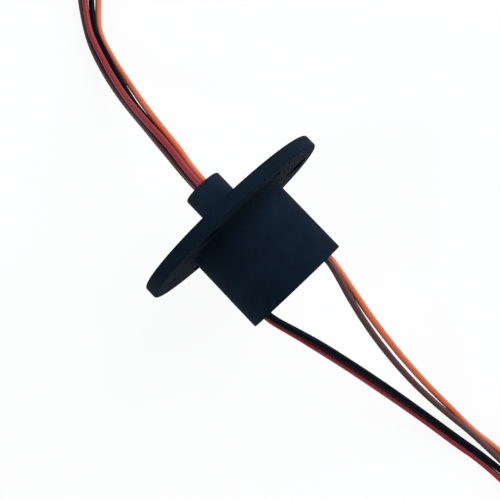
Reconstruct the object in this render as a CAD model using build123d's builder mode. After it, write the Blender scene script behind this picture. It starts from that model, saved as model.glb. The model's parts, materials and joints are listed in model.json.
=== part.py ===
"""Capsule slip ring with a mounting flange, four circuits and free wire leads.

Frame: X runs along the axis of rotation, towards the housing's closed end. The origin is the centre
of the flange's face on the housing side. Z is up, and the wires lie on a table at the flange's rim.
"""

import math
import os

from build123d import *

# Driving sizes, in millimetres
# Flange and housing
flange_d = 42.0
flange_t = 2.6
flange_edge_r = 0.35
housing_d = 22.0
housing_l = 16.8
housing_wall = 2.0
housing_root_r = 0.3
housing_edge_r = 0.15
bolt_hole_d = 5.4
bolt_count = 3
bolt_angle = -11.0
dowel_hole_d = 2.1
dowel_shift = 0.5
lip_t = 1.4
front_wall_t = 2.0
front_boss_wall = 1.5
front_recess_depth = 1.4

# Running and assembly clearances
fit_gap = 0.02
seat_gap = 0.05
run_gap = 0.4

# Rotor
stub_d = 8.2
stub_l = 7.0
stub_edge_r = 0.4
neck_d = 7.6
neck_gap = 0.3
core_d = 5.6
wire_bore_d = 4.2
slot_w = 1.0
potting_l = 4.2
potting_recess = 0.4

# Rings and barriers
ring_count = 4
ring_t = 0.85
ring_w = 1.1
groove_depth = 0.35
barrier_step = 0.45
barrier_w = 0.6
tab_w = 0.8
tab_l = 1.0
tab_gap = 0.1

# Bearings
front_bearing_id = 7.0
front_bearing_od = 11.0
front_bearing_w = 3.0
front_ball_d = 1.2
front_ball_count = 9
rear_bearing_id = 4.0
rear_bearing_od = 7.0
rear_bearing_w = 2.0
rear_ball_d = 0.9
rear_ball_count = 8
race_share = 0.26
cage_share = 0.6
cage_wall_share = 0.4
ball_gap = 0.04

# End journal and clip
clamp_reach = 0.7
clamp_t = 0.4
shoulder_d = 4.8
shoulder_t = 0.2
spigot_gap = 0.2
clip_t = 0.4
clip_d = 5.2
clip_groove_d = 3.2
clip_mouth = 1.8
journal_tail = 0.4
journal_gap = 0.25

# End cover, wire seals and board posts
cover_t = 1.4
cover_step = 0.5
cover_recess = 0.2
cover_boss_wall = 0.8
cover_shoulder = 0.3
post_y = 1.6
post_z = 2.0
post_l = 3.8
post_gap = 0.24
slot_depth = 1.8
seal_w = 2.2
seal_h = 3.3
seal_rim = 0.45
pair_dy = 0.32
pair_dz = 0.62

# Brush boards and brushes
board_t = 0.8
board_gap = 0.28
board_margin = 0.8
board_start_gap = 0.2
brush_d = 0.3
brush_hole_d = 0.5
brush_bend_r = 0.3
brush_reach = 1.0

# Wires
wire_d = 1.3
lead_d = 1.0
lead_bend_r = 0.6
lead_out = 1.2
lead_slope_l = 2.0
lead_bend_share = 0.9
bundle_gap = 0.04
bend_share = 0.45
tip_d = 0.9
tip_l = 4.0

# Coils of spare wire
table_z = -flange_d / 2
coil_pitch = 1.36
coil_mean_r = 9.0
coil_cover = 0.25
tie_t = 0.7
tie_w = 2.6
tie_gap = 0.1
tie_head = 2.4
tie_head_w = 3.84
tail_past_coil = 2.0

# Places along the axis
lip_face_x = -flange_t
front_seat_x = lip_face_x + lip_t
front_bearing_end_x = front_seat_x + front_bearing_w
stub_end_x = lip_face_x - stub_l
neck_x = lip_face_x - neck_gap
cover_out_x = housing_l - cover_recess
cover_in_x = cover_out_x - cover_t
journal_end_x = cover_in_x - journal_gap
clip_end_x = journal_end_x - journal_tail
rear_bearing_end_x = clip_end_x - clip_t - seat_gap
rear_seat_x = rear_bearing_end_x - rear_bearing_w
clamp_end_x = rear_seat_x - shoulder_t
stack_x = front_bearing_end_x
stack_end_x = clamp_end_x - clamp_t
stack_middle_l = ring_count * ring_w + (ring_count - 1) * barrier_w
end_barrier_w = (stack_end_x - stack_x - stack_middle_l) / 2
spigot_x = stack_end_x - end_barrier_w + spigot_gap
board_x = front_wall_t + board_start_gap
post_x = cover_in_x - post_l
board_end_x = post_x + slot_depth - seat_gap
potting_out_x = stub_end_x + potting_recess
potting_in_x = potting_out_x + potting_l

# Radii that several pieces share
flange_r = flange_d / 2
housing_r = housing_d / 2
bolt_circle_r = (flange_r + housing_r) / 2
bore_r = housing_r - housing_wall
mouth_r = bore_r + cover_step
wire_r = wire_d / 2
lead_r = lead_d / 2
ring_bore_r = core_d / 2 + seat_gap
ring_r = ring_bore_r + ring_t
groove_r = ring_r - groove_depth
barrier_r = ring_r + barrier_step
cover_seat_r = rear_bearing_od / 2 + fit_gap
cover_boss_r = cover_seat_r + cover_boss_wall
board_y = max(cover_boss_r, barrier_r) + board_gap
bundle_r = (wire_d + bundle_gap) / math.sqrt(2)
brush_z = groove_r + brush_d / 2 * math.sqrt(2) + seat_gap
board_h = 2 * (brush_z + board_margin)
board_out_y = board_y + board_t
crosspiece_y = board_out_y + brush_d / 2 + fit_gap
lead_on_board_y = board_out_y + lead_r + seat_gap

os.makedirs("parts", exist_ok=True)


def save(piece, name):
    """Label a finished piece and write it to its own file."""
    piece.label = name
    export_step(piece, f"parts/{name}.step")


def ring_center_x(index):
    """Middle of a slip ring along the axis, counted from the flange end."""
    return stack_x + end_barrier_w + ring_w / 2 + index * (ring_w + barrier_w)


# Housing: flange and cup in one moulding
lip_r = neck_d / 2 + run_gap
front_seat_r = front_bearing_od / 2 + fit_gap
boss_r = front_seat_r + front_boss_wall
recess_x = front_wall_t - front_recess_depth
with BuildPart() as housing:
    with BuildSketch(Plane.XY):
        with BuildLine():
            Polyline(
                (lip_face_x, lip_r),
                (lip_face_x, flange_r),
                (0, flange_r),
                (0, housing_r),
                (housing_l, housing_r),
                (housing_l, mouth_r),
                (cover_in_x, mouth_r),
                (cover_in_x, bore_r),
                (recess_x, bore_r),
                (recess_x, boss_r),
                (front_wall_t, boss_r),
                (front_wall_t, front_seat_r),
                (front_seat_x, front_seat_r),
                (front_seat_x, lip_r),
                close=True,
            )
        make_face()
    revolve(axis=Axis.X)
    round_edges = housing.edges().filter_by(GeomType.CIRCLE)
    fillet(round_edges.filter_by(lambda e: abs(e.radius - flange_r) < seat_gap), flange_edge_r)
    outer_edges = housing.edges().filter_by(GeomType.CIRCLE)
    outer_edges = outer_edges.filter_by(lambda e: abs(e.radius - housing_r) < seat_gap).sort_by(Axis.X)
    fillet(outer_edges.first, housing_root_r)
    fillet(outer_edges.last, housing_edge_r)
    with BuildSketch(Plane.YZ.offset(lip_face_x)):
        with PolarLocations(bolt_circle_r, bolt_count, start_angle=bolt_angle):
            Circle(bolt_hole_d / 2)
        with PolarLocations(bolt_circle_r + dowel_shift, bolt_count, bolt_angle + 180 / bolt_count):
            Circle(dowel_hole_d / 2)
    extrude(amount=flange_t, mode=Mode.SUBTRACT)
save(housing.part, "housing")


# End cover: plate on the housing's inner step, bearing boss, slotted posts for the boards
seal_y = mouth_r - seat_gap - seal_rim - seal_w / 2
with BuildPart() as end_cover:
    with BuildSketch(Plane.XY):
        with BuildLine():
            Polyline(
                (cover_out_x, 0),
                (cover_out_x, mouth_r - seat_gap),
                (cover_in_x, mouth_r - seat_gap),
                (cover_in_x, cover_boss_r),
                (rear_seat_x + shoulder_t, cover_boss_r),
                (rear_seat_x + shoulder_t, cover_seat_r),
                (rear_bearing_end_x, cover_seat_r),
                (rear_bearing_end_x, cover_seat_r - cover_shoulder),
                (cover_in_x, cover_seat_r - cover_shoulder),
                (cover_in_x, 0),
                close=True,
            )
        make_face()
    revolve(axis=Axis.X)
    post_mid_y = board_y + board_t / 2
    post_mid_z = pair_dz + lead_r + post_gap + post_z / 2
    with BuildSketch(Plane.YZ.offset(post_x)):
        with GridLocations(2 * post_mid_y, 2 * post_mid_z, 2, 2):
            Rectangle(post_y, post_z)
    extrude(amount=post_l)
    with BuildSketch(Plane.YZ.offset(post_x)):
        with GridLocations(2 * post_mid_y, 1, 2, 1):
            Rectangle(board_t + 2 * seat_gap, board_h + 2 * seat_gap)
    extrude(amount=slot_depth, mode=Mode.SUBTRACT)
    with BuildSketch(Plane.YZ.offset(cover_in_x)):
        with GridLocations(2 * seal_y, 1, 2, 1):
            SlotOverall(seal_h, seal_w, rotation=90)
    extrude(amount=cover_t, mode=Mode.SUBTRACT)
save(end_cover.part, "end_cover")

for side, name in ((1, "orange_brown_wire_seal"), (-1, "black_red_wire_seal")):
    with BuildPart() as wire_seal:
        with BuildSketch(Plane.YZ.offset(cover_in_x)):
            with Locations((side * seal_y, 0)):
                SlotOverall(seal_h - 2 * fit_gap, seal_w - 2 * fit_gap, rotation=90)
        extrude(amount=cover_t)
    save(wire_seal.part, name)


# Rotor shaft: stub, neck, journal and slotted core, with the wire bore through it
with BuildPart() as rotor_shaft:
    with BuildSketch(Plane.XY):
        with BuildLine():
            Polyline(
                (stub_end_x, wire_bore_d / 2),
                (stub_end_x, stub_d / 2),
                (neck_x, stub_d / 2),
                (neck_x, neck_d / 2),
                (front_seat_x, neck_d / 2),
                (front_seat_x, front_bearing_id / 2 - fit_gap),
                (stack_x, front_bearing_id / 2 - fit_gap),
                (stack_x, core_d / 2),
                (stack_end_x, core_d / 2),
                (stack_end_x, wire_bore_d / 2),
                close=True,
            )
        make_face()
    revolve(axis=Axis.X)
    stub_rim = rotor_shaft.edges().filter_by(GeomType.CIRCLE)
    stub_rim = stub_rim.filter_by(lambda e: abs(e.radius - stub_d / 2) < seat_gap).sort_by(Axis.X)
    fillet(stub_rim.first, stub_edge_r)
    with BuildSketch(Plane.YZ.offset(stack_x + end_barrier_w)):
        Rectangle(core_d + slot_w, slot_w)
        Rectangle(slot_w, core_d + slot_w)
    extrude(amount=stack_end_x - stack_x, mode=Mode.SUBTRACT)
save(rotor_shaft.part, "rotor_shaft")

with BuildPart() as wire_potting:
    with BuildSketch(Plane.YZ.offset(potting_out_x)):
        Circle(wire_bore_d / 2 - fit_gap)
    extrude(amount=potting_l)
save(wire_potting.part, "wire_potting")


# End journal: clamps the stack, carries the rear bearing and the clip
with BuildPart() as end_journal:
    with BuildSketch(Plane.XY):
        with BuildLine():
            Polyline(
                (spigot_x, 0),
                (spigot_x, wire_bore_d / 2 - fit_gap),
                (stack_end_x, wire_bore_d / 2 - fit_gap),
                (stack_end_x, core_d / 2 + clamp_reach),
                (clamp_end_x, core_d / 2 + clamp_reach),
                (clamp_end_x, shoulder_d / 2),
                (rear_seat_x, shoulder_d / 2),
                (rear_seat_x, rear_bearing_id / 2 - fit_gap),
                (rear_bearing_end_x, rear_bearing_id / 2 - fit_gap),
                (rear_bearing_end_x, clip_groove_d / 2 - fit_gap),
                (clip_end_x, clip_groove_d / 2 - fit_gap),
                (clip_end_x, rear_bearing_id / 2 - fit_gap),
                (journal_end_x, rear_bearing_id / 2 - fit_gap),
                (journal_end_x, 0),
                close=True,
            )
        make_face()
    revolve(axis=Axis.X)
save(end_journal.part, "end_journal")

with BuildPart() as retaining_clip:
    with BuildSketch(Plane.YZ.offset(rear_bearing_end_x)):
        Circle(clip_d / 2)
        Circle(clip_groove_d / 2, mode=Mode.SUBTRACT)
        with Locations((0, -clip_d / 2)):
            Rectangle(clip_mouth, clip_d, mode=Mode.SUBTRACT)
    extrude(amount=clip_t)
save(retaining_clip.part, "retaining_clip")


def bearing(label, start_x, inner_d, outer_d, width, ball_d, ball_count):
    """Ball bearing as four pieces: two races with ball tracks, a cage with pockets, the balls."""
    mid_x = start_x + width / 2
    pitch_r = (inner_d + outer_d) / 4
    race_t = (outer_d - inner_d) / 2 * race_share
    track_r = ball_d / 2 + ball_gap
    rings = (
        (f"{label}_inner_race", inner_d / 2, inner_d / 2 + race_t),
        (f"{label}_outer_race", outer_d / 2 - race_t, outer_d / 2),
    )
    for name, low_r, high_r in rings:
        with BuildPart() as race:
            with BuildSketch(Plane.XY):
                with Locations((mid_x, (low_r + high_r) / 2)):
                    Rectangle(width, high_r - low_r)
                with Locations((mid_x, pitch_r)):
                    Circle(track_r, mode=Mode.SUBTRACT)
            revolve(axis=Axis.X)
        save(race.part, name)
    with BuildPart() as balls:
        with PolarLocations(pitch_r, ball_count, start_angle=180 / ball_count):
            Sphere(ball_d / 2)
    save(Plane.YZ.offset(mid_x).from_local_coords(balls.part), f"{label}_balls")
    cage_t = (outer_d - inner_d) / 2 * (1 - 2 * race_share) * cage_wall_share
    with BuildPart() as cage:
        Cylinder(pitch_r + cage_t / 2, width * cage_share)
        Cylinder(pitch_r - cage_t / 2, width, mode=Mode.SUBTRACT)
        with PolarLocations(pitch_r, ball_count, start_angle=180 / ball_count):
            Cylinder(track_r, 2 * cage_t, rotation=(0, 90, 0), mode=Mode.SUBTRACT)
    save(Plane.YZ.offset(mid_x).from_local_coords(cage.part), f"{label}_cage")


bearing(
    "front_bearing",
    front_seat_x,
    front_bearing_id,
    front_bearing_od,
    front_bearing_w,
    front_ball_d,
    front_ball_count,
)
bearing(
    "rear_bearing",
    rear_seat_x,
    rear_bearing_id,
    rear_bearing_od,
    rear_bearing_w,
    rear_ball_d,
    rear_ball_count,
)


# Slip rings: V groove outside, one solder tab inside, on the lead that feeds the ring
lead_angles = {"black": 270, "brown": 180, "red": 90, "orange": 0}
tab_in_r = bundle_r + lead_r + tab_gap
tab_out_r = (ring_bore_r + groove_r) / 2
for index, (colour, angle) in enumerate(lead_angles.items()):
    mid_x = ring_center_x(index)
    with BuildPart() as slip_ring:
        with BuildSketch(Plane.XY):
            with BuildLine():
                Polyline(
                    (mid_x - ring_w / 2, ring_bore_r),
                    (mid_x - ring_w / 2, ring_r),
                    (mid_x - groove_depth, ring_r),
                    (mid_x, groove_r),
                    (mid_x + groove_depth, ring_r),
                    (mid_x + ring_w / 2, ring_r),
                    (mid_x + ring_w / 2, ring_bore_r),
                    close=True,
                )
            make_face()
        revolve(axis=Axis.X)
        with BuildSketch(Plane.YZ.offset(mid_x - tab_l / 2)):
            with PolarLocations(tab_in_r, 1, start_angle=angle):
                Rectangle(tab_out_r - tab_in_r, tab_w, align=(Align.MIN, Align.CENTER))
        extrude(amount=tab_l)
    save(slip_ring.part, f"slip_ring_{colour}")

for index in range(ring_count + 1):
    at_end = index in (0, ring_count)
    start_x = stack_x if index == 0 else ring_center_x(index - 1) + ring_w / 2
    with BuildPart() as barrier:
        with BuildSketch(Plane.YZ.offset(start_x)):
            Circle(barrier_r)
            Circle(ring_bore_r, mode=Mode.SUBTRACT)
        extrude(amount=end_barrier_w if at_end else barrier_w)
    save(barrier.part, f"ring_barrier_{index + 1}")


# Rotor leads: straight in the wire bore, from the potting to each ring's tab
for index, (colour, angle) in enumerate(lead_angles.items()):
    lead_end_x = ring_center_x(index) + tab_l / 2
    with BuildPart() as rotor_lead:
        with BuildSketch(Plane.YZ.offset(potting_in_x)):
            with PolarLocations(bundle_r, 1, start_angle=angle):
                Circle(lead_r)
        extrude(amount=lead_end_x - potting_in_x)
    save(rotor_lead.part, f"rotor_lead_{colour}")


# Brush boards and brushes: the +Y board feeds the first and third ring, the -Y board the others
board_rings = {1: (0, 2), -1: (1, 3)}
colours = list(lead_angles)
for side, name in ((1, "brush_board_right"), (-1, "brush_board_left")):
    with BuildPart() as board:
        with BuildSketch(Plane.XZ.offset(-side * (board_y + board_t / 2))):
            with Locations(((board_x + board_end_x) / 2, 0)):
                Rectangle(board_end_x - board_x, board_h)
            for index in board_rings[side]:
                with Locations((ring_center_x(index), brush_z), (ring_center_x(index), -brush_z)):
                    Circle(brush_hole_d / 2, mode=Mode.SUBTRACT)
        extrude(amount=board_t / 2, both=True)
    save(board.part, name)
    for index in board_rings[side]:
        mid_x = ring_center_x(index)
        with BuildPart() as brush:
            with BuildLine():
                hairpin = FilletPolyline(
                    (mid_x, -side * brush_reach, brush_z),
                    (mid_x, side * crosspiece_y, brush_z),
                    (mid_x, side * crosspiece_y, -brush_z),
                    (mid_x, -side * brush_reach, -brush_z),
                    radius=brush_bend_r,
                )
            with BuildSketch(Plane(origin=hairpin @ 0, z_dir=hairpin % 0)):
                Circle(brush_d / 2)
            sweep()
        save(brush.part, f"brush_{colours[index]}")


# Where the stator wires leave the end cover: colour, y, z
stator_exits = {
    "orange": (seal_y + pair_dy, -pair_dz),
    "brown": (seal_y - pair_dy, pair_dz),
    "black": (-seal_y + pair_dy, pair_dz),
    "red": (-seal_y - pair_dy, -pair_dz),
}
for colour, (exit_y, exit_z) in stator_exits.items():
    side = math.copysign(1, exit_y)
    bend_x = cover_in_x - lead_out
    foot_x = bend_x - lead_slope_l
    slope_turn = math.atan2(abs(abs(exit_y) - lead_on_board_y), lead_slope_l)
    shortest_run = min(lead_out, lead_d)
    bend_r = min(lead_bend_r, lead_bend_share * shortest_run / math.tan(slope_turn / 2))
    with BuildPart() as stator_lead:
        with BuildLine():
            lead_path = FilletPolyline(
                (cover_in_x, exit_y, exit_z),
                (bend_x, exit_y, exit_z),
                (foot_x, side * lead_on_board_y, exit_z),
                (foot_x - lead_d, side * lead_on_board_y, exit_z),
                radius=bend_r,
            )
        with BuildSketch(Plane(origin=lead_path @ 0, z_dir=lead_path % 0)):
            Circle(lead_r)
        sweep()
    save(stator_lead.part, f"stator_lead_{colour}")


# Wire routes, chosen point by point from the exit to the coil
rotor_routes = {
    "orange": [
        (potting_out_x, bundle_r, 0),
        (-13.0, bundle_r, 0),
        (-18.1, 1.8, -0.8),
        (-22.65, 2.15, -2.9),
        (-27.4, 2.55, -5.65),
        (-33.0, 3.15, -10.0),
        (-38.9, 3.95, -15.05),
        (-45.05, 4.9, -18.2),
        (-50.85, 6.2, -19.75),
        (-54.65, 7.75, -19.95),
        (-58.8, 11.7, -19.9),
        (-63.92, 16.68, -19.55),
    ],
    "red": [
        (potting_out_x, 0, bundle_r),
        (-13.0, 0, bundle_r),
        (-18.0, 0.6, 0.1),
        (-22.5, 0.85, -1.85),
        (-27.25, 0.9, -4.7),
        (-32.75, 1.15, -8.6),
        (-38.35, 1.65, -12.5),
        (-44.7, 2.85, -15.85),
        (-50.55, 4.4, -17.5),
        (-54.9, 5.85, -17.8),
        (-61.8, 10.5, -18.6),
        (-68.34, 17.25, -19.55),
    ],
    "brown": [
        (potting_out_x, -bundle_r, 0),
        (-13.0, -bundle_r, 0),
        (-18.3, -0.55, -0.85),
        (-22.85, -0.3, -3.0),
        (-27.7, 0, -6.4),
        (-33.35, 0.25, -10.45),
        (-39.05, 0.75, -14.25),
        (-45.4, 1.8, -17.2),
        (-51.35, 3.4, -18.65),
        (-55.75, 5.35, -19.2),
        (-63.6, 10.3, -19.55),
        (-71.31, 18.29, -19.55),
    ],
    "black": [
        (potting_out_x, 0, -bundle_r),
        (-13.0, 0, -bundle_r),
        (-18.4, 0.6, -1.7),
        (-23.0, 0.9, -4.0),
        (-27.75, 1.35, -6.8),
        (-33.3, 1.65, -10.65),
        (-38.7, 2.6, -13.95),
        (-44.8, 3.95, -16.85),
        (-50.55, 5.5, -18.4),
        (-54.65, 6.9, -18.85),
        (-60.5, 11.2, -19.05),
        (-65.88, 16.72, -19.55),
    ],
}
stator_routes = {
    "orange": [
        (cover_out_x, *stator_exits["orange"]),
        (18.0, *stator_exits["orange"]),
        (22.1, 7.55, -0.95),
        (25.55, 6.95, -1.75),
        (31.9, 6.05, -4.35),
        (39.05, 5.5, -8.95),
        (46.15, 5.3, -13.45),
        (52.35, 5.4, -16.85),
        (58.05, 5.65, -19.2),
        (63.8, 5.7, -20.25),
        (69.8, 6.75, -20.1),
        (75.9, 7.24, -19.55),
    ],
    "brown": [
        (cover_out_x, *stator_exits["brown"]),
        (18.0, *stator_exits["brown"]),
        (21.85, 6.6, 0.15),
        (25.25, 5.7, -1.05),
        (31.7, 4.45, -4.25),
        (38.95, 3.75, -8.9),
        (46.15, 3.55, -13.4),
        (52.3, 3.85, -16.5),
        (57.85, 4.4, -18.35),
        (63.4, 5.2, -18.8),
        (70.2, 5.55, -18.95),
        (77.0, 5.88, -19.55),
    ],
    "black": [
        (cover_out_x, *stator_exits["black"]),
        (17.9, *stator_exits["black"]),
        (22.65, -5.95, 0),
        (27.8, -4.35, -1.8),
        (34.85, -2.75, -5.8),
        (41.15, -1.45, -9.9),
        (47.55, -0.25, -13.8),
        (55.55, 1.15, -17.5),
        (63.5, 2.55, -19.25),
        (67.8, 3.45, -19.35),
        (73.5, 4.3, -19.45),
        (78.8, 4.52, -19.55),
    ],
    "red": [
        (cover_out_x, *stator_exits["red"]),
        (17.9, *stator_exits["red"]),
        (22.9, -6.7, -1.25),
        (28.1, -5.4, -2.95),
        (35.25, -3.8, -6.95),
        (41.6, -2.6, -11.0),
        (48.0, -1.4, -14.85),
        (56.0, 0.05, -18.5),
        (63.95, 1.35, -19.9),
        (68.3, 2.35, -20.1),
        (74.5, 3.0, -19.95),
        (81.6, 3.16, -19.55),
    ],
}


def bend_radii(points):
    """Arc at each corner: as large as the shorter of its two runs allows."""
    radii = []
    for before, corner, after in zip(points, points[1:], points[2:]):
        arriving = Vector(*corner) - Vector(*before)
        leaving = Vector(*after) - Vector(*corner)
        half_turn = math.radians(arriving.get_angle(leaving)) / 2
        shorter = min(arriving.length, leaving.length)
        radii.append(bend_share * shorter / math.tan(half_turn))
    return radii


for end, routes in (("rotor", rotor_routes), ("stator", stator_routes)):
    for colour, points in routes.items():
        radii = bend_radii(points)
        with BuildPart() as wire:
            with BuildLine():
                route = FilletPolyline(*points, radius=radii)
            with BuildSketch(Plane(origin=route @ 0, z_dir=route % 0)):
                Circle(wire_r)
            sweep()
        save(wire.part, f"{end}_wire_{colour}")
        ratio = wire.part.volume / (math.pi * wire_r**2 * route.length)
        print(end, colour, "length", round(route.length, 1), "volume ratio", round(ratio, 4))


# Coils of spare wire: each wire keeps its own lane, and its turns lie on each other
coil_floor_z = table_z + tie_t + tie_gap
middle_lane = (ring_count - 1) / 2
lane_r = [coil_mean_r + (lane - middle_lane) * coil_pitch for lane in range(ring_count)]
coil_in_r = lane_r[0] - wire_r - bundle_gap
coil_out_r = lane_r[-1] + wire_r + bundle_gap


def coil_height(turns):
    """Height of the envelope over a lane's stack of turns, from the coil's underside."""
    return wire_d + turns * coil_pitch + coil_cover


def make_coil(end, center, start_angle, direction, turns, tie_angle):
    """Coil envelope with its wire tails, its tie and the stripped tips."""
    low, high = coil_height(turns[-1]), coil_height(turns[0])
    tails = []
    for lane, lane_turns in zip(lane_r, turns):
        angle = math.radians(start_angle + direction * 360 * lane_turns)
        out = math.sqrt(coil_out_r**2 - lane**2) + tail_past_coil
        heading = (-direction * math.sin(angle), direction * math.cos(angle), 0)
        start = (
            center[0] + lane * math.cos(angle),
            center[1] + lane * math.sin(angle),
            coil_floor_z + wire_r + lane_turns * coil_pitch,
        )
        tails.append((Plane(origin=start, z_dir=heading), out))
    with BuildPart() as coil:
        with BuildSketch(Plane.XZ):
            with BuildLine():
                Polyline(
                    (coil_in_r, coil_floor_z),
                    (coil_out_r, coil_floor_z),
                    (coil_out_r, coil_floor_z + low),
                    (coil_in_r, coil_floor_z + high),
                    close=True,
                )
            make_face()
        revolve(axis=Axis.Z)
    placed = Pos(center[0], center[1], 0) * coil.part
    with BuildPart() as coil_with_tails:
        add(placed)
        for plane, out in tails:
            with BuildSketch(plane):
                Circle(wire_r)
            extrude(amount=out)
    save(coil_with_tails.part, f"{end}_wire_coil")
    with BuildPart() as tips:
        for plane, out in tails:
            with BuildSketch(plane.offset(out)):
                Circle(tip_d / 2)
            extrude(amount=tip_l)
    save(tips.part, f"{end}_wire_tips")
    across = Plane(
        origin=(center[0], center[1], 0),
        x_dir=(math.cos(math.radians(tie_angle)), math.sin(math.radians(tie_angle)), 0),
        z_dir=(math.sin(math.radians(tie_angle)), -math.cos(math.radians(tie_angle)), 0),
    )
    hug_in_r = math.sqrt(coil_in_r**2 - (tie_w / 2) ** 2)
    with BuildPart() as tie:
        with BuildSketch(across):
            with BuildLine():
                Polyline(
                    (hug_in_r, coil_floor_z),
                    (coil_out_r, coil_floor_z),
                    (coil_out_r, coil_floor_z + low),
                    (hug_in_r, coil_floor_z + high),
                    close=True,
                )
            section = make_face()
            offset(section, amount=tie_gap + tie_t, kind=Kind.INTERSECTION)
            offset(section, amount=tie_gap, kind=Kind.INTERSECTION, mode=Mode.SUBTRACT)
        extrude(amount=tie_w / 2, both=True)
        with BuildSketch(across):
            with Locations((coil_out_r + tie_gap + tie_head / 2, coil_floor_z + low / 2)):
                Rectangle(tie_head, tie_head)
        extrude(amount=tie_head_w / 2, both=True)
    save(tie.part, f"{end}_coil_tie")


make_coil("rotor", (-66.0, 28.6), 225, -1, (4.05, 3.05, 2.4, 2.4), 20)
make_coil("stator", (85.5, 14.2), 270, 1, (3.9, 3.2, 2.4, 2.28), 150)
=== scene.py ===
"""Looks of a capsule slip ring: mouldings, inner works, wires, coil ties, wire ends and a stage.

The file is laid out as an add-on and run as a script. Every size is in metres, in the frame of
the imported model: X runs along the axis of rotation towards the housing's closed end, Z is up, and
the wires lie on a table at the flange's rim.
"""

import json
import math

import bmesh
import bpy
from bpy.props import FloatProperty, FloatVectorProperty, IntProperty, PointerProperty
from mathutils import Matrix, Vector


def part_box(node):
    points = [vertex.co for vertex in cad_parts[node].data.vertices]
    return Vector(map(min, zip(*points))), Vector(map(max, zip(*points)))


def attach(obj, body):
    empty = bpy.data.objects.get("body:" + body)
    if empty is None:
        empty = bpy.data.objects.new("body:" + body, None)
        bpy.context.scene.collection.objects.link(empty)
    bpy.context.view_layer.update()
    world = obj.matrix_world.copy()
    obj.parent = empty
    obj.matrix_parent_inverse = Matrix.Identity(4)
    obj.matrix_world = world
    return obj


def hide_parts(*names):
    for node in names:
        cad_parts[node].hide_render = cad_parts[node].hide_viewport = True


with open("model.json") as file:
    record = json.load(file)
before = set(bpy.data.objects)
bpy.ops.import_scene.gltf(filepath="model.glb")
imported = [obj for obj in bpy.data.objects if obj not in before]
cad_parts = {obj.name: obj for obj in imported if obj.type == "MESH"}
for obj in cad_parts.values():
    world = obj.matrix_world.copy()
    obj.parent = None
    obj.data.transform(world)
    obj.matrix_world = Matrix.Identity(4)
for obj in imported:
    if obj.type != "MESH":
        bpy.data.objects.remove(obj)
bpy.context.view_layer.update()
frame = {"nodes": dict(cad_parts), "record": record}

bl_info = {
    "name": "Slip ring looks",
    "version": (1, 0, 0),
    "blender": (4, 5, 0),
    "location": "3D View > Sidebar > Slip ring",
    "description": "Finishes, wires, coil ties and a studio stage for a capsule slip ring",
    "category": "Object",
}

TABLE_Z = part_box("housing")[0].z

# Picture: its width and the point that the lens looks at, in pixels
FRAME_PX = 500
LENS_AXIS_PX = (236.26, 222.64)

# Modelling: how far a face's normal has to follow an axis to count as facing it, and the angle
# under which neighbouring faces are shaded as one round
FACING = 0.9
SMOOTH_ANGLE = math.radians(35)

# Span of a surface mask over which colour and roughness change
MASK_LOW, MASK_HIGH = 0.3, 0.7

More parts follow.
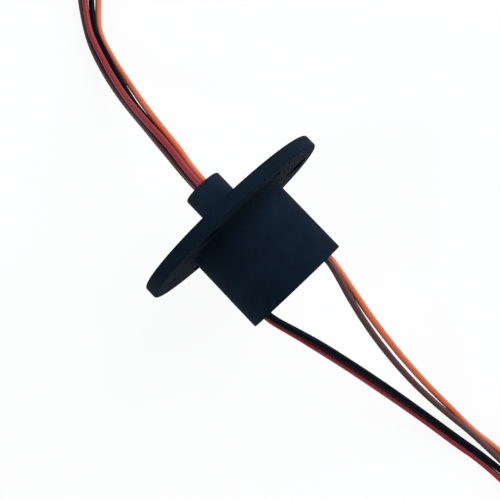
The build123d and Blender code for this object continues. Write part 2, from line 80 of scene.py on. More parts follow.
# Wire routes, listed from the exit to the coil, as the solids have them
ROUTES = {
    "rotor": {
        "orange": [
            (-0.0092, 0.000947, 0.0),
            (-0.013, 0.000947, 0.0),
            (-0.0181, 0.0018, -0.0008),
            (-0.02265, 0.00215, -0.0029),
            (-0.0274, 0.00255, -0.00565),
            (-0.033, 0.00315, -0.01),
            (-0.0389, 0.00395, -0.01505),
            (-0.04505, 0.0049, -0.0182),
            (-0.05085, 0.0062, -0.01975),
            (-0.05465, 0.00775, -0.01995),
            (-0.0588, 0.0117, -0.0199),
            (-0.06392, 0.01668, -0.01955),
        ],
        "red": [
            (-0.0092, 0.0, 0.000947),
            (-0.013, 0.0, 0.000947),
            (-0.018, 0.0006, 0.0001),
            (-0.0225, 0.00085, -0.00185),
            (-0.02725, 0.0009, -0.0047),
            (-0.03275, 0.00115, -0.0086),
            (-0.03835, 0.00165, -0.0125),
            (-0.0447, 0.00285, -0.01585),
            (-0.05055, 0.0044, -0.0175),
            (-0.0549, 0.00585, -0.0178),
            (-0.0618, 0.0105, -0.0186),
            (-0.06834, 0.01725, -0.01955),
        ],
        "brown": [
            (-0.0092, -0.000947, 0.0),
            (-0.013, -0.000947, 0.0),
            (-0.0183, -0.00055, -0.00085),
            (-0.02285, -0.0003, -0.003),
            (-0.0277, 0.0, -0.0064),
            (-0.03335, 0.00025, -0.01045),
            (-0.03905, 0.00075, -0.01425),
            (-0.0454, 0.0018, -0.0172),
            (-0.05135, 0.0034, -0.01865),
            (-0.05575, 0.00535, -0.0192),
            (-0.0636, 0.0103, -0.01955),
            (-0.07131, 0.01829, -0.01955),
        ],
        "black": [
            (-0.0092, 0.0, -0.000947),
            (-0.013, 0.0, -0.000947),
            (-0.0184, 0.0006, -0.0017),
            (-0.023, 0.0009, -0.004),
            (-0.02775, 0.00135, -0.0068),
            (-0.0333, 0.00165, -0.01065),
            (-0.0387, 0.0026, -0.01395),
            (-0.0448, 0.00395, -0.01685),
            (-0.05055, 0.0055, -0.0184),
            (-0.05465, 0.0069, -0.01885),
            (-0.0605, 0.0112, -0.01905),
            (-0.06588, 0.01672, -0.01955),
        ],
    },
    "stator": {
        "orange": [
            (0.0166, 0.00822, -0.00062),
            (0.018, 0.00822, -0.00062),
            (0.0221, 0.00755, -0.00095),
            (0.02555, 0.00695, -0.00175),
            (0.0319, 0.00605, -0.00435),
            (0.03905, 0.0055, -0.00895),
            (0.04615, 0.0053, -0.01345),
            (0.05235, 0.0054, -0.01685),
            (0.05805, 0.00565, -0.0192),
            (0.0638, 0.0057, -0.02025),
            (0.0698, 0.00675, -0.0201),
            (0.0759, 0.00724, -0.01955),
        ],
        "brown": [
            (0.0166, 0.00758, 0.00062),
            (0.018, 0.00758, 0.00062),
            (0.02185, 0.0066, 0.00015),
            (0.02525, 0.0057, -0.00105),
            (0.0317, 0.00445, -0.00425),
            (0.03895, 0.00375, -0.0089),
            (0.04615, 0.00355, -0.0134),
            (0.0523, 0.00385, -0.0165),
            (0.05785, 0.0044, -0.01835),
            (0.0634, 0.0052, -0.0188),
            (0.0702, 0.00555, -0.01895),
            (0.077, 0.00588, -0.01955),
        ],
        "black": [
            (0.0166, -0.00758, 0.00062),
            (0.0179, -0.00758, 0.00062),
            (0.02265, -0.00595, 0.0),
            (0.0278, -0.00435, -0.0018),
            (0.03485, -0.00275, -0.0058),
            (0.04115, -0.00145, -0.0099),
            (0.04755, -0.00025, -0.0138),
            (0.05555, 0.00115, -0.0175),
            (0.0635, 0.00255, -0.01925),
            (0.0678, 0.00345, -0.01935),
            (0.0735, 0.0043, -0.01945),
            (0.0788, 0.00452, -0.01955),
        ],
        "red": [
            (0.0166, -0.00822, -0.00062),
            (0.0179, -0.00822, -0.00062),
            (0.0229, -0.0067, -0.00125),
            (0.0281, -0.0054, -0.00295),
            (0.03525, -0.0038, -0.00695),
            (0.0416, -0.0026, -0.011),
            (0.048, -0.0014, -0.01485),
            (0.056, 0.00005, -0.0185),
            (0.06395, 0.00135, -0.0199),
            (0.0683, 0.00235, -0.0201),
            (0.0745, 0.003, -0.01995),
            (0.0816, 0.00316, -0.01955),
        ],
    },
}

# Coils of spare wire: the middle, the angle in degrees where the wires arrive, the sense of the
# turns, each lane's wire and its turns from the inside out, and the tie's angle in degrees
COILS = {
    "rotor": {
        "center": (-0.066, 0.0286),
        "start": 225,
        "sense": -1,
        "lanes": {"orange": 4.05, "black": 3.05, "red": 2.4, "brown": 2.4},
        "tie_angle": 20,
    },
    "stator": {
        "center": (0.0855, 0.0142),
        "start": 270,
        "sense": 1,
        "lanes": {"orange": 3.9, "brown": 3.2, "black": 2.4, "red": 2.28},
        "tie_angle": 150,
    },
}
LANE_COUNT = 4


def metres(label, text, value):
    """A length that a user may set."""
    return FloatProperty(name=label, description=text, default=value, unit="LENGTH", precision=5)


def radians(label, text, value):
    """An angle that a user may set."""
    return FloatProperty(name=label, description=text, default=value, subtype="ANGLE")


def watts(label, text, value):
    """A lamp's power that a user may set."""
    return FloatProperty(name=label, description=text, default=value, unit="POWER")


def tint(label, text, value):
    """A colour that a user may set, in linear light."""
    return FloatVectorProperty(
        name=label, description=text, default=value, subtype="COLOR", size=3, min=0.0, max=1.0
    )


class SlipRingSizes(bpy.types.PropertyGroup):
    """Sizes of the wires, their coils, ties and stripped ends."""

    wire: metres("Wire diameter", "Outside of a wire's insulation", 0.0013)
    wire_length: metres("Wire length", "Length of each wire from its exit", 0.25)
    coil_pitch: metres("Coil pitch", "Distance between turns and between lanes", 0.00136)
    coil_radius: metres("Coil radius", "Middle of the coil's turns", 0.009)
    coil_points: IntProperty(
        name="Points a turn", description="Points in one turn of a coil", default=24
    )
    lane_room: metres("Lane room", "Play round a wire in its lane", 0.00004)
    tail: metres("Tail", "Wire left over past the coil's outside", 0.002)
    tip: metres("Tip diameter", "Outside of the twisted strands", 0.0009)
    tip_length: metres("Tip length", "Insulation stripped off the end", 0.004)
    tie_thickness: metres("Tie thickness", "Strap of a coil tie", 0.0007)
    tie_width: metres("Tie width", "Width of a coil tie's strap", 0.0026)
    tie_gap: metres("Tie gap", "Play between the tie and the coil", 0.0001)
    tie_head: metres("Tie head", "Height and depth of the tie's head", 0.0024)
    coil_cover: metres("Coil cover", "Play over the coil's top", 0.00025)


class SlipRingColours(bpy.types.PropertyGroup):
    """Colours of the finishes."""

    moulding: tint("Moulding", "Housing and end cover", (0.0041, 0.0104, 0.0194))
    shaft: tint("Shaft", "Turning stub", (0.0062, 0.0166, 0.0316))
    orange: tint("Orange wire", "Insulation", (0.69, 0.144, 0.058))
    red: tint("Red wire", "Insulation", (0.285, 0.028, 0.037))
    brown: tint("Brown wire", "Insulation", (0.098, 0.038, 0.040))
    black: tint("Black wire", "Insulation", (0.0020, 0.0034, 0.0064))
    seal: tint("Seal", "Rubber wire seals", (0.010, 0.011, 0.012))
    potting: tint("Potting", "Cast resin in the stub", (0.006, 0.007, 0.009))
    steel: tint("Steel", "Bearing races, journal and clip", (0.52, 0.53, 0.55))
    brass: tint("Brass", "Bearing cages", (0.66, 0.46, 0.17))
    gold: tint("Gold", "Slip rings and brushes", (0.86, 0.61, 0.22))
    barrier: tint("Barrier", "Insulating rings", (0.68, 0.63, 0.50))
    board: tint("Board", "Lacquer on the brush boards", (0.015, 0.14, 0.05))
    tin: tint("Tin", "Tinned strands and inner leads", (0.62, 0.61, 0.58))
    tie: tint("Tie", "Coil ties", (0.74, 0.73, 0.68))


class SlipRingStage(bpy.types.PropertyGroup):
    """Camera, lamps and floor."""

    distance: metres("Camera distance", "From the flange's centre", 0.15553)
    lean: radians("Camera lean", "Lean from straight down", -0.0919)
    roll: radians("Camera roll", "Turn about the view", -0.8087)
    lens_px: FloatProperty(
        name="Focal length", description="In pixels of the picture", default=812.89
    )
    key: watts("Key lamp", "Large lamp on the right", 2.6)
    fill: watts("Fill lamp", "Weak lamp on the left", 1.1)
    floor: tint("Floor", "Plain pale floor", (0.95, 0.95, 0.95))


def sizes():
    """The sizes in use."""
    return bpy.context.scene.slip_ring_sizes


def colours():
    """The colours in use."""
    return bpy.context.scene.slip_ring_colours


def add_node(tree, kind, values=None, **settings):
    """A node with its inputs and settings filled in."""
    node = tree.nodes.new(kind)
    for name, value in settings.items():
        setattr(node, name, value)
    for name, value in (values or {}).items():
        node.inputs[name].default_value = value
    return node


def new_group(name, inputs, outputs):
    """An empty shader group with named sockets, and its two end nodes."""
    tree = bpy.data.node_groups.new(name, "ShaderNodeTree")
    for label, kind, value in inputs:
        socket = tree.interface.new_socket(name=label, in_out="INPUT", socket_type=kind)
        if value is not None:
            socket.default_value = value
    for label in outputs:
        tree.interface.new_socket(name=label, in_out="OUTPUT", socket_type="NodeSocketFloat")
    return tree, tree.nodes.new("NodeGroupInput"), tree.nodes.new("NodeGroupOutput")


def times(tree, value, factor, plus=None):
    """A value times a factor, with another value added if there is one."""
    operation = "MULTIPLY" if plus is None else "MULTIPLY_ADD"
    node = add_node(tree, "ShaderNodeMath", operation=operation)
    node.inputs[1].default_value = factor
    tree.links.new(value, node.inputs[0])
    if plus is not None:
        tree.links.new(plus, node.inputs[2])
    return node.outputs[0]


def scaled_noise(tree, start, share, detail, roughness):
    """Noise at a share of the group's own scale."""
    noise = add_node(tree, "ShaderNodeTexNoise", {"Detail": detail, "Roughness": roughness})
    tree.links.new(start.outputs["Vector"], noise.inputs["Vector"])
    tree.links.new(times(tree, start.outputs["Scale"], share), noise.inputs["Scale"])
    return noise.outputs["Fac"]


def mould_grain_group():
    """Spark-eroded grain of a mould, with broad patches where the plastic filled it unevenly."""
    inputs = (("Vector", "NodeSocketVector", None), ("Scale", "NodeSocketFloat", 2600.0))
    tree, start, end = new_group("Mould grain", inputs, ("Height", "Mottle"))
    grain = scaled_noise(tree, start, share=1.0, detail=3.0, roughness=0.62)
    patches = scaled_noise(tree, start, share=0.07, detail=2.0, roughness=0.5)
    uneven = times(tree, patches, factor=0.65)
    tree.links.new(grain, end.inputs["Height"])
    tree.links.new(times(tree, grain, factor=0.35, plus=uneven), end.inputs["Mottle"])
    return tree


def scuff_group():
    """Sparse, thin rubs from handling."""
    inputs = (("Vector", "NodeSocketVector", None), ("Scale", "NodeSocketFloat", 260.0))
    tree, start, end = new_group("Handling rubs", inputs, ("Mask",))
    slant = {"Scale": (1.0, 5.0, 2.0), "Rotation": (0.4, 0.9, 0.6)}
    stretch = add_node(tree, "ShaderNodeMapping", slant)
    tree.links.new(start.outputs["Vector"], stretch.inputs["Vector"])
    ragged = {"Detail": 5.0, "Roughness": 0.7, "Distortion": 0.6}
    noise = add_node(tree, "ShaderNodeTexNoise", ragged)
    tree.links.new(stretch.outputs["Vector"], noise.inputs["Vector"])
    tree.links.new(start.outputs["Scale"], noise.inputs["Scale"])
    edge = add_node(tree, "ShaderNodeMapRange", {"From Min": 0.60, "From Max": 0.74})
    tree.links.new(noise.outputs["Fac"], edge.inputs["Value"])
    tree.links.new(edge.outputs["Result"], end.inputs["Mask"])
    return tree


def turning_group():
    """Fine rings left by a lathe about the axis of rotation, on round and on flat faces."""
    inputs = (("Vector", "NodeSocketVector", None), ("Scale", "NodeSocketFloat", 9000.0))
    tree, start, end = new_group("Turning marks", inputs, ("Height",))
    split = add_node(tree, "ShaderNodeSeparateXYZ")
    tree.links.new(start.outputs["Vector"], split.inputs["Vector"])
    flat = add_node(tree, "ShaderNodeCombineXYZ")
    tree.links.new(split.outputs["Y"], flat.inputs["Y"])
    tree.links.new(split.outputs["Z"], flat.inputs["Z"])
    radius = add_node(tree, "ShaderNodeVectorMath", operation="LENGTH")
    tree.links.new(flat.outputs["Vector"], radius.inputs[0])
    path = add_node(tree, "ShaderNodeMath", operation="ADD")
    tree.links.new(split.outputs["X"], path.inputs[0])
    tree.links.new(radius.outputs["Value"], path.inputs[1])
    rings = add_node(tree, "ShaderNodeTexNoise", {"Detail": 2.0}, noise_dimensions="1D")
    tree.links.new(path.outputs[0], rings.inputs["W"])
    tree.links.new(start.outputs["Scale"], rings.inputs["Scale"])
    tree.links.new(rings.outputs["Fac"], end.inputs["Height"])
    return tree


def extrusion_group():
    """Faint draw lines along a wire's insulation, with slow changes of gloss."""
    inputs = (("Vector", "NodeSocketVector", None), ("Scale", "NodeSocketFloat", 9.0))
    tree, start, end = new_group("Draw lines", inputs, ("Height", "Mottle"))
    along = add_node(tree, "ShaderNodeMapping", {"Scale": (0.8, 2.6, 1.0)})
    tree.links.new(start.outputs["Vector"], along.inputs["Vector"])
    lines = add_node(tree, "ShaderNodeTexNoise", {"Detail": 2.0, "Roughness": 0.5})
    tree.links.new(along.outputs["Vector"], lines.inputs["Vector"])
    tree.links.new(start.outputs["Scale"], lines.inputs["Scale"])
    slow = add_node(tree, "ShaderNodeTexNoise", {"Scale": 14.0, "Detail": 3.0})
    tree.links.new(start.outputs["Vector"], slow.inputs["Vector"])
    tree.links.new(lines.outputs["Fac"], end.inputs["Height"])
    tree.links.new(slow.outputs["Fac"], end.inputs["Mottle"])
    return tree


GROUP_MAKERS = {
    "Mould grain": mould_grain_group,
    "Handling rubs": scuff_group,
    "Turning marks": turning_group,
    "Draw lines": extrusion_group,
}


def effect(tree, name, place, scale):
    """One of the shared surface effects, placed in a material."""
    node = tree.nodes.new("ShaderNodeGroup")
    node.node_tree = bpy.data.node_groups.get(name) or GROUP_MAKERS[name]()
    node.inputs["Scale"].default_value = scale
    tree.links.new(place, node.inputs["Vector"])
    return node


def start_material(name, place="Object"):
    """A new material with its tree, its shader and the coordinates that its pattern follows."""
    material = bpy.data.materials.new(name)
    material.use_nodes = True
    tree = material.node_tree
    coordinates = tree.nodes.new("ShaderNodeTexCoord")
    return material, tree, tree.nodes["Principled BSDF"], coordinates.outputs[place]


def shade(colour, share):
    """The colour, lighter or darker, with full alpha."""
    return (*[min(1.0, channel * share) for channel in colour], 1.0)


def vary_colour(tree, shader, mask, colour, darkest, lightest):
    """Base colour between a darker and a lighter share of itself."""
    ramp = add_node(tree, "ShaderNodeValToRGB")
    low, high = ramp.color_ramp.elements
    low.position, low.color = MASK_LOW, shade(colour, darkest)
    high.position, high.color = MASK_HIGH, shade(colour, lightest)
    tree.links.new(mask, ramp.inputs["Fac"])
    tree.links.new(ramp.outputs["Color"], shader.inputs["Base Color"])


def vary_roughness(tree, shader, mask, at_low, at_high):
    """Roughness that follows a mask."""
    span = {"From Min": MASK_LOW, "From Max": MASK_HIGH, "To Min": at_low, "To Max": at_high}
    spread = add_node(tree, "ShaderNodeMapRange", span)
    tree.links.new(mask, spread.inputs["Value"])
    tree.links.new(spread.outputs["Result"], shader.inputs["Roughness"])


def raise_surface(tree, shader, height, strength, distance):
    """Bump from a height."""
    bump = add_node(tree, "ShaderNodeBump", {"Strength": strength, "Distance": distance})
    tree.links.new(height, bump.inputs["Height"])
    tree.links.new(bump.outputs["Normal"], shader.inputs["Normal"])


def moulded_plastic(name, colour, roughness, grain, depth, specular):
    """Filled thermoplastic with mould grain and a few rubs."""
    material, tree, shader, place = start_material(name)
    skin = effect(tree, "Mould grain", place, grain)
    rubs = effect(tree, "Handling rubs", place, scale=260.0)
    worn = times(tree, rubs.outputs["Mask"], factor=0.18, plus=skin.outputs["Mottle"])
    vary_colour(tree, shader, worn, colour, darkest=0.74, lightest=1.28)
    vary_roughness(tree, shader, worn, at_low=roughness + 0.05, at_high=roughness - 0.05)
    raise_surface(tree, shader, skin.outputs["Height"], depth, distance=0.00004)
    shader.inputs["Specular IOR Level"].default_value = specular
    return material


def turned_metal(name, colour, roughness, pitch, depth):
    """Metal with the rings of the tool that cut it."""
    material, tree, shader, place = start_material(name)
    rings = effect(tree, "Turning marks", place, pitch).outputs["Height"]
    vary_colour(tree, shader, rings, colour, darkest=0.9, lightest=1.06)
    vary_roughness(tree, shader, rings, at_low=roughness, at_high=roughness + 0.14)
    raise_surface(tree, shader, rings, depth, distance=0.00002)
    shader.inputs["Metallic"].default_value = 1.0
    return material


def plain_metal(name, colour, roughness, grain):
    """Metal with a fine, directionless grain."""
    material, tree, shader, place = start_material(name)
    skin = effect(tree, "Mould grain", place, grain)
    mottle = skin.outputs["Mottle"]
    vary_colour(tree, shader, mottle, colour, darkest=0.88, lightest=1.06)
    vary_roughness(tree, shader, mottle, at_low=roughness, at_high=roughness + 0.12)
    raise_surface(tree, shader, skin.outputs["Height"], strength=0.12, distance=0.00002)
    shader.inputs["Metallic"].default_value = 1.0
    return material


def wire_insulation(name, colour, roughness, specular):
    """Drawn insulation, satin, with lines along the wire."""
    material, tree, shader, place = start_material(name, "UV")
    skin = effect(tree, "Draw lines", place, scale=9.0)
    mottle = skin.outputs["Mottle"]
    vary_colour(tree, shader, mottle, colour, darkest=0.93, lightest=1.07)
    vary_roughness(tree, shader, mottle, at_low=roughness - 0.06, at_high=roughness + 0.06)
    raise_surface(tree, shader, skin.outputs["Height"], strength=0.12, distance=0.00003)
    shader.inputs["Specular IOR Level"].default_value = specular
    return material


def nylon(name, colour):
    """Natural nylon, with a little light in it."""
    material, tree, shader, place = start_material(name)
    skin = effect(tree, "Mould grain", place, scale=1500.0)
    mottle = skin.outputs["Mottle"]
    vary_colour(tree, shader, mottle, colour, darkest=0.95, lightest=1.04)
    vary_roughness(tree, shader, mottle, at_low=0.36, at_high=0.48)
    raise_surface(tree, shader, skin.outputs["Height"], strength=0.08, distance=0.00003)
    shader.inputs["Subsurface Weight"].default_value = 0.25
    shader.inputs["Subsurface Scale"].default_value = 0.0006
    return material


# The record's slots: how each is made, its material's name, its colour and the maker's own values
FINISHES = {
    "moulded_black": (
        moulded_plastic,
        "moulded plastic",
        "moulding",
        dict(roughness=0.86, grain=2600.0, depth=0.55, specular=0.04),
    ),
    "shaft_black": (
        moulded_plastic,
        "shaft plastic",
        "shaft",
        dict(roughness=0.84, grain=3200.0, depth=0.45, specular=0.10),
    ),
    "seal_black": (
        moulded_plastic,
        "seal rubber",
        "seal",
        dict(roughness=0.70, grain=1800.0, depth=0.25, specular=0.30),
    ),
    "potting_black": (
        moulded_plastic,
        "potting resin",
        "potting",
        dict(roughness=0.20, grain=700.0, depth=0.18, specular=0.50),
    ),
    "barrier_ivory": (
        moulded_plastic,
        "barrier plastic",
        "barrier",
        dict(roughness=0.42, grain=2600.0, depth=0.15, specular=0.50),
    ),
    "board_green": (
        moulded_plastic,
        "board lacquer",
        "board",
        dict(roughness=0.28, grain=1500.0, depth=0.12, specular=0.50),
    ),
    "bearing_steel": (
        turned_metal,
        "ground steel",
        "steel",
        dict(roughness=0.24, pitch=9000.0, depth=0.15),
    ),
    "contact_gold": (
        turned_metal,
        "contact gold",
        "gold",
        dict(roughness=0.16, pitch=7000.0, depth=0.10),
    ),
    "ball_steel": (plain_metal, "ball steel", "steel", dict(roughness=0.08, grain=4000.0)),
    "cage_brass": (plain_metal, "cage brass", "brass", dict(roughness=0.28, grain=3000.0)),
    "tinned_copper": (plain_metal, "tinned copper", "tin", dict(roughness=0.30, grain=5000.0)),
    "tie_white": (nylon, "tie nylon", "tie", {}),
    "wire_black": (
        wire_insulation,
        "black insulation",
        "black",
        dict(roughness=0.55, specular=0.05),
    ),
    "wire_brown": (
        wire_insulation,
        "brown insulation",
        "brown",
        dict(roughness=0.45, specular=0.25),
    ),
    "wire_red": (wire_insulation, "red insulation", "red", dict(roughness=0.45, specular=0.25)),
    "wire_orange": (
        wire_insulation,
        "orange insulation",
        "orange",
        dict(roughness=0.45, specular=0.25),
    ),
}


def make_finish(slot):
    """The material of one of the record's slots."""
    maker, name, colour, values = FINISHES[slot]
    return maker(name, getattr(colours(), colour), **values)


finishes = {}


def finish_of(slot):
    """A slot's material, made on its first use."""
    if slot not in finishes:
        finishes[slot] = make_finish(slot)
    return finishes[slot]


def dress(piece, slot):
    """Give a piece its only material."""
    piece.data.materials.clear()
    piece.data.materials.append(finish_of(slot))


def dress_nodes(slots):
    """Give every CAD node of these slots its finish."""
    for part in frame["record"]["subparts"]:
        if part["material_slot"] in slots:
            dress(frame["nodes"][part["node"]], part["material_slot"])


def deselect_all():
    """Nothing selected, so that the next operator acts on its own piece alone."""
    bpy.ops.object.select_all(action="DESELECT")


def pick(piece, kind, test):
    """In edit mode, select the vertices, edges or faces that pass the test, and nothing else."""
    bpy.ops.mesh.select_all(action="DESELECT")
    bpy.context.tool_settings.mesh_select_mode = (kind == "verts", kind == "edges", kind == "faces")
    shape = bmesh.from_edit_mesh(piece.data)
    for item in getattr(shape, kind):
        item.select_set(test(item))
    shape.select_flush_mode()
    bmesh.update_edit_mesh(piece.data)


def apply_modifier(piece, kind, **settings):
    """Add a modifier and apply it."""
    modifier = piece.modifiers.new(kind.lower(), kind)
    for name, value in settings.items():
        setattr(modifier, name, value)
    bpy.context.view_layer.objects.active = piece
    bpy.ops.object.modifier_apply(modifier=modifier.name)


def add_block(size, middle):
    """A block of that size with its place in its mesh, in edit mode."""
    deselect_all()
    bpy.ops.mesh.primitive_cube_add(size=1.0, location=middle)
    block = bpy.context.object
    block.scale = size
    bpy.ops.object.transform_apply(location=True, rotation=True, scale=True)
    bpy.ops.object.mode_set(mode="EDIT")
    return block


def join(pieces, name):
    """Several shapes as one piece."""
    deselect_all()
    for piece in pieces:
        piece.select_set(True)
    bpy.context.view_layer.objects.active = pieces[0]
    bpy.ops.object.join()
    whole = bpy.context.object
    whole.name = name
    whole.data.name = name
    return whole


def set_down(piece, place):
    """Move a piece to its place and leave its object at the origin, with smooth rounds."""
    deselect_all()
    piece.select_set(True)
    bpy.context.view_layer.objects.active = piece
    piece.matrix_world = place
    bpy.ops.object.transform_apply(location=True, rotation=True, scale=True)
    bpy.ops.object.shade_smooth_by_angle(angle=SMOOTH_ANGLE)


def lane_radii():
    """Radius of each wire's lane in a coil, from the inside."""
    size = sizes()
    middle = (LANE_COUNT - 1) / 2
    return [size.coil_radius + (lane - middle) * size.coil_pitch for lane in range(LANE_COUNT)]


def coil_floor():
    """Height of a coil's underside, over the strap of its tie."""
    return TABLE_Z + sizes().tie_thickness + sizes().tie_gap


def coil_reach():
    """Inner and outer radius of a coil."""
    radii, room = lane_radii(), sizes().wire / 2 + sizes().lane_room
    return radii[0] - room, radii[-1] + room


def coil_point(coil, radius, turns):
    """A point on a lane, that many turns after the wire arrives."""
    angle = math.radians(coil["start"] + coil["sense"] * 360 * turns)
    height = coil_floor() + sizes().wire / 2 + turns * sizes().coil_pitch
    x, y = coil["center"]
    return Vector((x + radius * math.cos(angle), y + radius * math.sin(angle), height))


def tail_heading(coil, turns):
    """Direction in which a wire leaves its lane."""
    angle = math.radians(coil["start"] + coil["sense"] * 360 * turns)
    return Vector((-math.sin(angle), math.cos(angle), 0.0)) * coil["sense"]


def wire_end(coil, radius, turns):
    """Where the insulation ends, past the coil's outside."""
    out = math.sqrt(coil_reach()[1] ** 2 - radius**2) + sizes().tail
    return coil_point(coil, radius, turns) + tail_heading(coil, turns) * out


class SLIPRING_OT_finish_mouldings(bpy.types.Operator):
    """Give the housing, end cover, shaft, seals and potting their plastics and resins"""

    bl_idname = "slipring.finish_mouldings"
    bl_label = "Finish mouldings"

    def execute(self, context):
        dress_nodes({"moulded_black", "shaft_black", "seal_black", "potting_black"})
        dress_nodes({"barrier_ivory"})
        return {"FINISHED"}


class SLIPRING_OT_finish_inner_works(bpy.types.Operator):
    """Give the bearings, rings, brushes, boards and inner leads their metals and lacquers"""

    bl_idname = "slipring.finish_inner_works"
    bl_label = "Finish inner works"

    def execute(self, context):
        dress_nodes({"bearing_steel", "ball_steel", "cage_brass"})
        dress_nodes({"contact_gold", "board_green", "tinned_copper"})
        return {"FINISHED"}


class SLIPRING_OT_strip_ends(bpy.types.Operator):
    """Twist seven tinned strands for the stripped end of each wire"""

    bl_idname = "slipring.strip_ends"
    bl_label = "Strip wire ends"

    strand_sides = 10
    strand_cuts = 12
    outer_strands = 6
    strands_across = 3
    twist = math.radians(210)
    # Round of a strand's end: each step's width and rise, as shares of the strand's radius
    end_steps = ((0.35, 0.3), (0.3, 0.1))

    def strand(self, middle, radius):
        """One straight strand with a rounded end, cut into short lengths so that it can twist."""
        length = sizes().tip_length
        deselect_all()
        bpy.ops.mesh.primitive_cylinder_add(
            vertices=self.strand_sides, radius=radius, depth=length, location=(*middle, length / 2)
        )
        strand = bpy.context.object
        bpy.ops.object.transform_apply(location=True, rotation=True, scale=True)
        bpy.ops.object.mode_set(mode="EDIT")
        pick(strand, "edges", lambda e: abs(e.verts[0].co.z - e.verts[1].co.z) > length / 2)
        bpy.ops.mesh.subdivide(number_cuts=self.strand_cuts)
        pick(strand, "faces", lambda f: f.normal.z > FACING)
        for width, rise in self.end_steps:
            bpy.ops.mesh.inset(thickness=radius * width, depth=radius * rise)
        bpy.ops.object.mode_set(mode="OBJECT")
        return strand

    def bundle(self, name):
        """Six strands round one, twisted."""
        radius = sizes().tip / (2 * self.strands_across)
        middles = [(0.0, 0.0)]
        for step in range(self.outer_strands):
            around = math.radians(360 / self.outer_strands * step)
            middles.append((2 * radius * math.cos(around), 2 * radius * math.sin(around)))
        bundle = join([self.strand(middle, radius) for middle in middles], name)
        apply_modifier(
            bundle, "SIMPLE_DEFORM", deform_method="TWIST", deform_axis="Z", angle=self.twist
        )
        return bundle

    def execute(self, context):
        for end, coil in COILS.items():
            for radius, (colour, turns) in zip(lane_radii(), coil["lanes"].items()):
                tip = self.bundle(f"{end}_tip_{colour}")
                turn = tail_heading(coil, turns).to_track_quat("Z", "Y").to_matrix().to_4x4()
                set_down(tip, Matrix.Translation(wire_end(coil, radius, turns)) @ turn)
                dress(tip, "tinned_copper")
                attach(tip, end)
                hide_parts(f"{end}_wire_tips")
        return {"FINISHED"}


class SLIPRING_OT_tie_coils(bpy.types.Operator):
    """Model the nylon tie round each coil: strap, head and ratchet tail"""

    bl_idname = "slipring.tie_coils"
    bl_label = "Tie coils"

    # Shares of the strap's thickness
    strap_corner = 0.8
    strap_edge = 0.2
    tooth_height = 0.45
    # Shares of the head's size
    head_width = 1.6
    head_edge = 0.08
    slot_wall = 0.2
    slot_lead_in = 0.05
    slot_depth = 0.2
    tail_lift = 0.3
    # Ratchet tail: its width as a share of the strap's, the rest as shares of a tooth's height
    tail_width = 0.8
    tail_teeth = 7
    tooth_lean = 0.5
    tooth_back = 0.2
    tooth_edge = 0.12

    def strap(self, inner, outer, low, high):
        """Strap round the coil's section, whose top slants."""
        size = sizes()
        gap = size.tie_gap
        height = high + 2 * gap
        middle = ((inner + outer) / 2, 0.0, coil_floor() - gap + height / 2)
        strap = add_block((outer - inner + 2 * gap, size.tie_width, height), middle)
        pick(strap, "verts", lambda v: v.co.x > middle[0] and v.co.z > middle[2])
        bpy.ops.transform.translate(value=(0.0, 0.0, low - high))
        pick(strap, "faces", lambda f: abs(f.normal.y) > FACING)
        bpy.ops.mesh.delete(type="ONLY_FACE")
        pick(strap, "edges", lambda e: abs(e.verts[0].co.y - e.verts[1].co.y) > size.tie_width / 2)
        bpy.ops.mesh.bevel(offset=size.tie_thickness * self.strap_corner, segments=4)
        bpy.ops.object.mode_set(mode="OBJECT")
        apply_modifier(strap, "SOLIDIFY", thickness=size.tie_thickness, offset=1.0)
        edge = size.tie_thickness * self.strap_edge
        apply_modifier(strap, "BEVEL", width=edge, segments=2, limit_method="ANGLE")
        return strap

    def head(self, outer, low):
        """Head with a through slot and rounded edges."""
        size = sizes()
        middle = (outer + size.tie_gap + size.tie_head / 2, 0.0, coil_floor() + low / 2)
        head = add_block((size.tie_head, size.tie_head * self.head_width, size.tie_head), middle)
        pick(head, "faces", lambda f: abs(f.normal.z) > FACING)
        bpy.ops.mesh.inset(thickness=size.tie_head * self.slot_wall, depth=0.0)
        lead_in, depth = size.tie_head * self.slot_lead_in, size.tie_head * self.slot_depth
        bpy.ops.mesh.inset(thickness=lead_in, depth=-depth)
        bpy.ops.object.mode_set(mode="OBJECT")
        edge = size.tie_head * self.head_edge
        apply_modifier(head, "BEVEL", width=edge, segments=3, limit_method="ANGLE")
        return head

    def tail(self, outer, low):
        """Cut-off tail above the head, with ratchet teeth."""
        size = sizes()
        step = size.tie_thickness * self.tooth_height
        lean = step * self.tooth_lean
        lift = coil_floor() + low / 2 + size.tie_head * self.tail_lift
        middle = (outer + size.tie_gap + size.tie_head / 2, 0.0, lift)
        tail = add_block((size.tie_thickness, size.tie_width * self.tail_width, step), middle)
        for _ in range(self.tail_teeth):
            for across, up in ((lean, step), (-lean, step * self.tooth_back)):
                pick(tail, "faces", lambda f: f.normal.z > FACING)
                move = {"value": (across, 0.0, up)}
                bpy.ops.mesh.extrude_region_move(TRANSFORM_OT_translate=move)
        bpy.ops.object.mode_set(mode="OBJECT")
        edge = step * self.tooth_edge
        apply_modifier(tail, "BEVEL", width=edge, segments=1, limit_method="ANGLE")
        return tail

    def execute(self, context):
        size = sizes()
        inner, outer = coil_reach()
        hug = math.sqrt(inner**2 - (size.tie_width / 2) ** 2)
        for end, coil in COILS.items():
            turns = list(coil["lanes"].values())
            low = size.wire + size.coil_cover + size.coil_pitch * turns[-1]
            high = size.wire + size.coil_cover + size.coil_pitch * turns[0]
            strap = self.strap(hug, outer, low, high)
            tie = join([strap, self.head(outer, low), self.tail(outer, low)], f"{end}_tie")
            turn = Matrix.Rotation(math.radians(coil["tie_angle"]), 4, "Z")
            set_down(tie, Matrix.Translation((*coil["center"], 0.0)) @ turn)
            dress(tie, "tie_white")
            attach(tie, end)
            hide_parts(f"{end}_coil_tie")
        return {"FINISHED"}


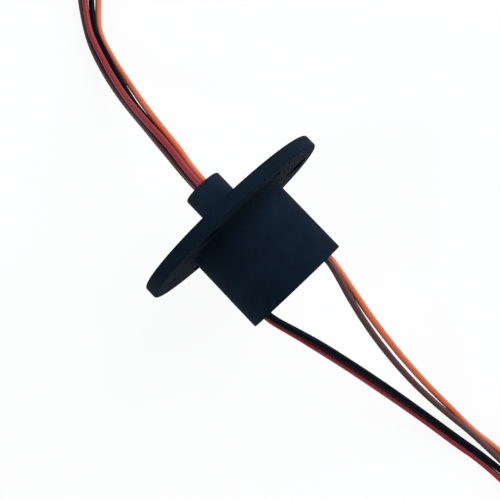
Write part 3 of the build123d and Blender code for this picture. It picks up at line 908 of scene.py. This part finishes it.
class SLIPRING_OT_lay_wires(bpy.types.Operator):
    """Lay the eight wires along their routes and wind their spare length into the coils"""

    bl_idname = "slipring.lay_wires"
    bl_label = "Lay wires"

    def line(self, end, colour, lane):
        """Control points of one wire: its route, its turns and its tail."""
        coil, radius = COILS[end], lane_radii()[lane]
        turns = coil["lanes"][colour]
        points = [Vector(point) for point in ROUTES[end][colour]]
        steps = math.ceil(turns * sizes().coil_points)
        for step in range(steps + 1):
            points.append(coil_point(coil, radius, turns * step / steps))
        points.append(wire_end(coil, radius, turns))
        return points

    def wire(self, name, points):
        """One smooth round wire through its control points."""
        curve = bpy.data.curves.new(name, "CURVE")
        curve.dimensions = "3D"
        curve.bevel_depth = sizes().wire / 2
        curve.bevel_resolution = 5
        curve.use_fill_caps = True
        spline = curve.splines.new("NURBS")
        spline.points.add(len(points) - 1)
        for control, point in zip(spline.points, points):
            control.co = (*point, 1.0)
        spline.order_u = 3
        spline.use_endpoint_u = True
        spline.resolution_u = 6
        wire = bpy.data.objects.new(name, curve)
        bpy.context.scene.collection.objects.link(wire)
        return wire

    def execute(self, context):
        for end, coil in COILS.items():
            for lane, colour in enumerate(coil["lanes"]):
                wire = self.wire(f"{end}_cord_{colour}", self.line(end, colour, lane))
                dress(wire, f"wire_{colour}")
                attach(wire, end)
                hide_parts(f"{end}_wire_{colour}", f"{end}_wire_coil")
        return {"FINISHED"}


class SLIPRING_OT_build_stage(bpy.types.Operator):
    """Set the pale floor, the soft lamps, the world and the camera"""

    bl_idname = "slipring.build_stage"
    bl_label = "Build stage"

    floor_width = 4.0
    floor_drop = 0.00003
    # Share of plain white in what each kind of ray sees of the floor; the rest is lit and shaded
    white_shares = {"Is Camera Ray": 0.92, "Is Glossy Ray": 0.3, "Is Transmission Ray": 0.3}
    key_place, key_width = (0.02, 0.39, 0.26), 0.40
    fill_place, fill_width = (-0.10, -0.40, 0.26), 0.30
    horizon = (0.37, 0.43, 0.49, 1.0)
    zenith, zenith_from = (0.105, 0.13, 0.155, 1.0), 0.9
    sensor_mm = 36.0
    nearest = 0.005

    def floor(self, stage):
        """A wide pale floor that shows white and keeps the shadow."""
        deselect_all()
        low = (0.0, 0.0, TABLE_Z - self.floor_drop)
        bpy.ops.mesh.primitive_plane_add(size=self.floor_width, location=low)
        floor = bpy.context.object
        floor.name = "floor"
        bpy.ops.object.transform_apply(location=True, rotation=True, scale=True)
        material = bpy.data.materials.new("pale floor")
        material.use_nodes = True
        tree = material.node_tree
        tree.nodes.clear()
        matt = add_node(tree, "ShaderNodeBsdfDiffuse", {"Color": (*stage.floor, 1.0)})
        glow = add_node(tree, "ShaderNodeEmission", {"Strength": 1.0})
        path = add_node(tree, "ShaderNodeLightPath")
        white = None
        for ray, share in self.white_shares.items():
            white = times(tree, path.outputs[ray], share, plus=white)
        mix = add_node(tree, "ShaderNodeMixShader")
        tree.links.new(white, mix.inputs["Fac"])
        tree.links.new(matt.outputs[0], mix.inputs[1])
        tree.links.new(glow.outputs[0], mix.inputs[2])
        out = add_node(tree, "ShaderNodeOutputMaterial")
        tree.links.new(mix.outputs[0], out.inputs["Surface"])
        floor.data.materials.append(material)

    def lamp(self, name, place, width, power):
        """A square soft lamp aimed at the flange."""
        data = bpy.data.lights.new(name, "AREA")
        data.shape = "SQUARE"
        data.size = width
        data.energy = power
        lamp = bpy.data.objects.new(name, data)
        bpy.context.scene.collection.objects.link(lamp)
        lamp.location = place
        lamp.rotation_euler = (-Vector(place)).to_track_quat("-Z", "Y").to_euler()

    def sky(self):
        """Soft light all round, brighter near the horizon than overhead."""
        world = bpy.data.worlds.new("soft room")
        bpy.context.scene.world = world
        world.use_nodes = True
        tree = world.node_tree
        place = add_node(tree, "ShaderNodeTexCoord")
        split = add_node(tree, "ShaderNodeSeparateXYZ")
        tree.links.new(place.outputs["Generated"], split.inputs["Vector"])
        ramp = add_node(tree, "ShaderNodeValToRGB")
        low, high = ramp.color_ramp.elements
        low.position, low.color = 0.0, self.horizon
        high.position, high.color = self.zenith_from, self.zenith
        tree.links.new(split.outputs["Z"], ramp.inputs["Fac"])
        tree.links.new(ramp.outputs["Color"], tree.nodes["Background"].inputs["Color"])

    def camera(self, stage):
        """The photograph's view: almost straight down, turned about the view."""
        data = bpy.data.cameras.new("camera")
        data.sensor_width = self.sensor_mm
        data.lens = stage.lens_px * data.sensor_width / FRAME_PX
        data.clip_start = self.nearest
        data.shift_x = (FRAME_PX / 2 - LENS_AXIS_PX[0]) / FRAME_PX
        data.shift_y = (LENS_AXIS_PX[1] - FRAME_PX / 2) / FRAME_PX
        camera = bpy.data.objects.new("camera", data)
        bpy.context.scene.collection.objects.link(camera)
        turn = Matrix.Rotation(stage.roll, 4, "Z") @ Matrix.Rotation(stage.lean, 4, "Y")
        back = Matrix.Translation((0.0, 0.0, stage.distance))
        camera.matrix_world = turn.transposed() @ back
        bpy.context.scene.camera = camera

    def execute(self, context):
        stage = context.scene.slip_ring_stage
        context.scene.view_settings.view_transform = "Standard"
        self.floor(stage)
        self.lamp("key lamp", self.key_place, self.key_width, stage.key)
        self.lamp("fill lamp", self.fill_place, self.fill_width, stage.fill)
        self.sky()
        self.camera(stage)
        return {"FINISHED"}


OPERATORS = (
    SLIPRING_OT_finish_mouldings,
    SLIPRING_OT_finish_inner_works,
    SLIPRING_OT_strip_ends,
    SLIPRING_OT_tie_coils,
    SLIPRING_OT_lay_wires,
    SLIPRING_OT_build_stage,
)


class SLIPRING_PT_looks(bpy.types.Panel):
    """The slip ring's sizes, colours and building steps"""

    bl_label = "Slip ring"
    bl_idname = "SLIPRING_PT_looks"
    bl_space_type = "VIEW_3D"
    bl_region_type = "UI"
    bl_category = "Slip ring"

    def draw(self, context):
        layout = self.layout
        for group in ("slip_ring_sizes", "slip_ring_colours", "slip_ring_stage"):
            values = getattr(context.scene, group)
            column = layout.column(align=True)
            for name in values.__annotations__:
                column.prop(values, name)
        for operator in OPERATORS:
            layout.operator(operator.bl_idname)


CLASSES = (SlipRingSizes, SlipRingColours, SlipRingStage, *OPERATORS, SLIPRING_PT_looks)


def register():
    for cls in CLASSES:
        bpy.utils.register_class(cls)
    bpy.types.Scene.slip_ring_sizes = PointerProperty(type=SlipRingSizes)
    bpy.types.Scene.slip_ring_colours = PointerProperty(type=SlipRingColours)
    bpy.types.Scene.slip_ring_stage = PointerProperty(type=SlipRingStage)


def unregister():
    del bpy.types.Scene.slip_ring_stage
    del bpy.types.Scene.slip_ring_colours
    del bpy.types.Scene.slip_ring_sizes
    for cls in reversed(CLASSES):
        bpy.utils.unregister_class(cls)


def main():
    register()
    bpy.ops.slipring.finish_mouldings()
    bpy.ops.slipring.finish_inner_works()
    bpy.ops.slipring.strip_ends()
    bpy.ops.slipring.tie_coils()
    bpy.ops.slipring.lay_wires()
    bpy.ops.slipring.build_stage()


if __name__ == "__main__":
    main()
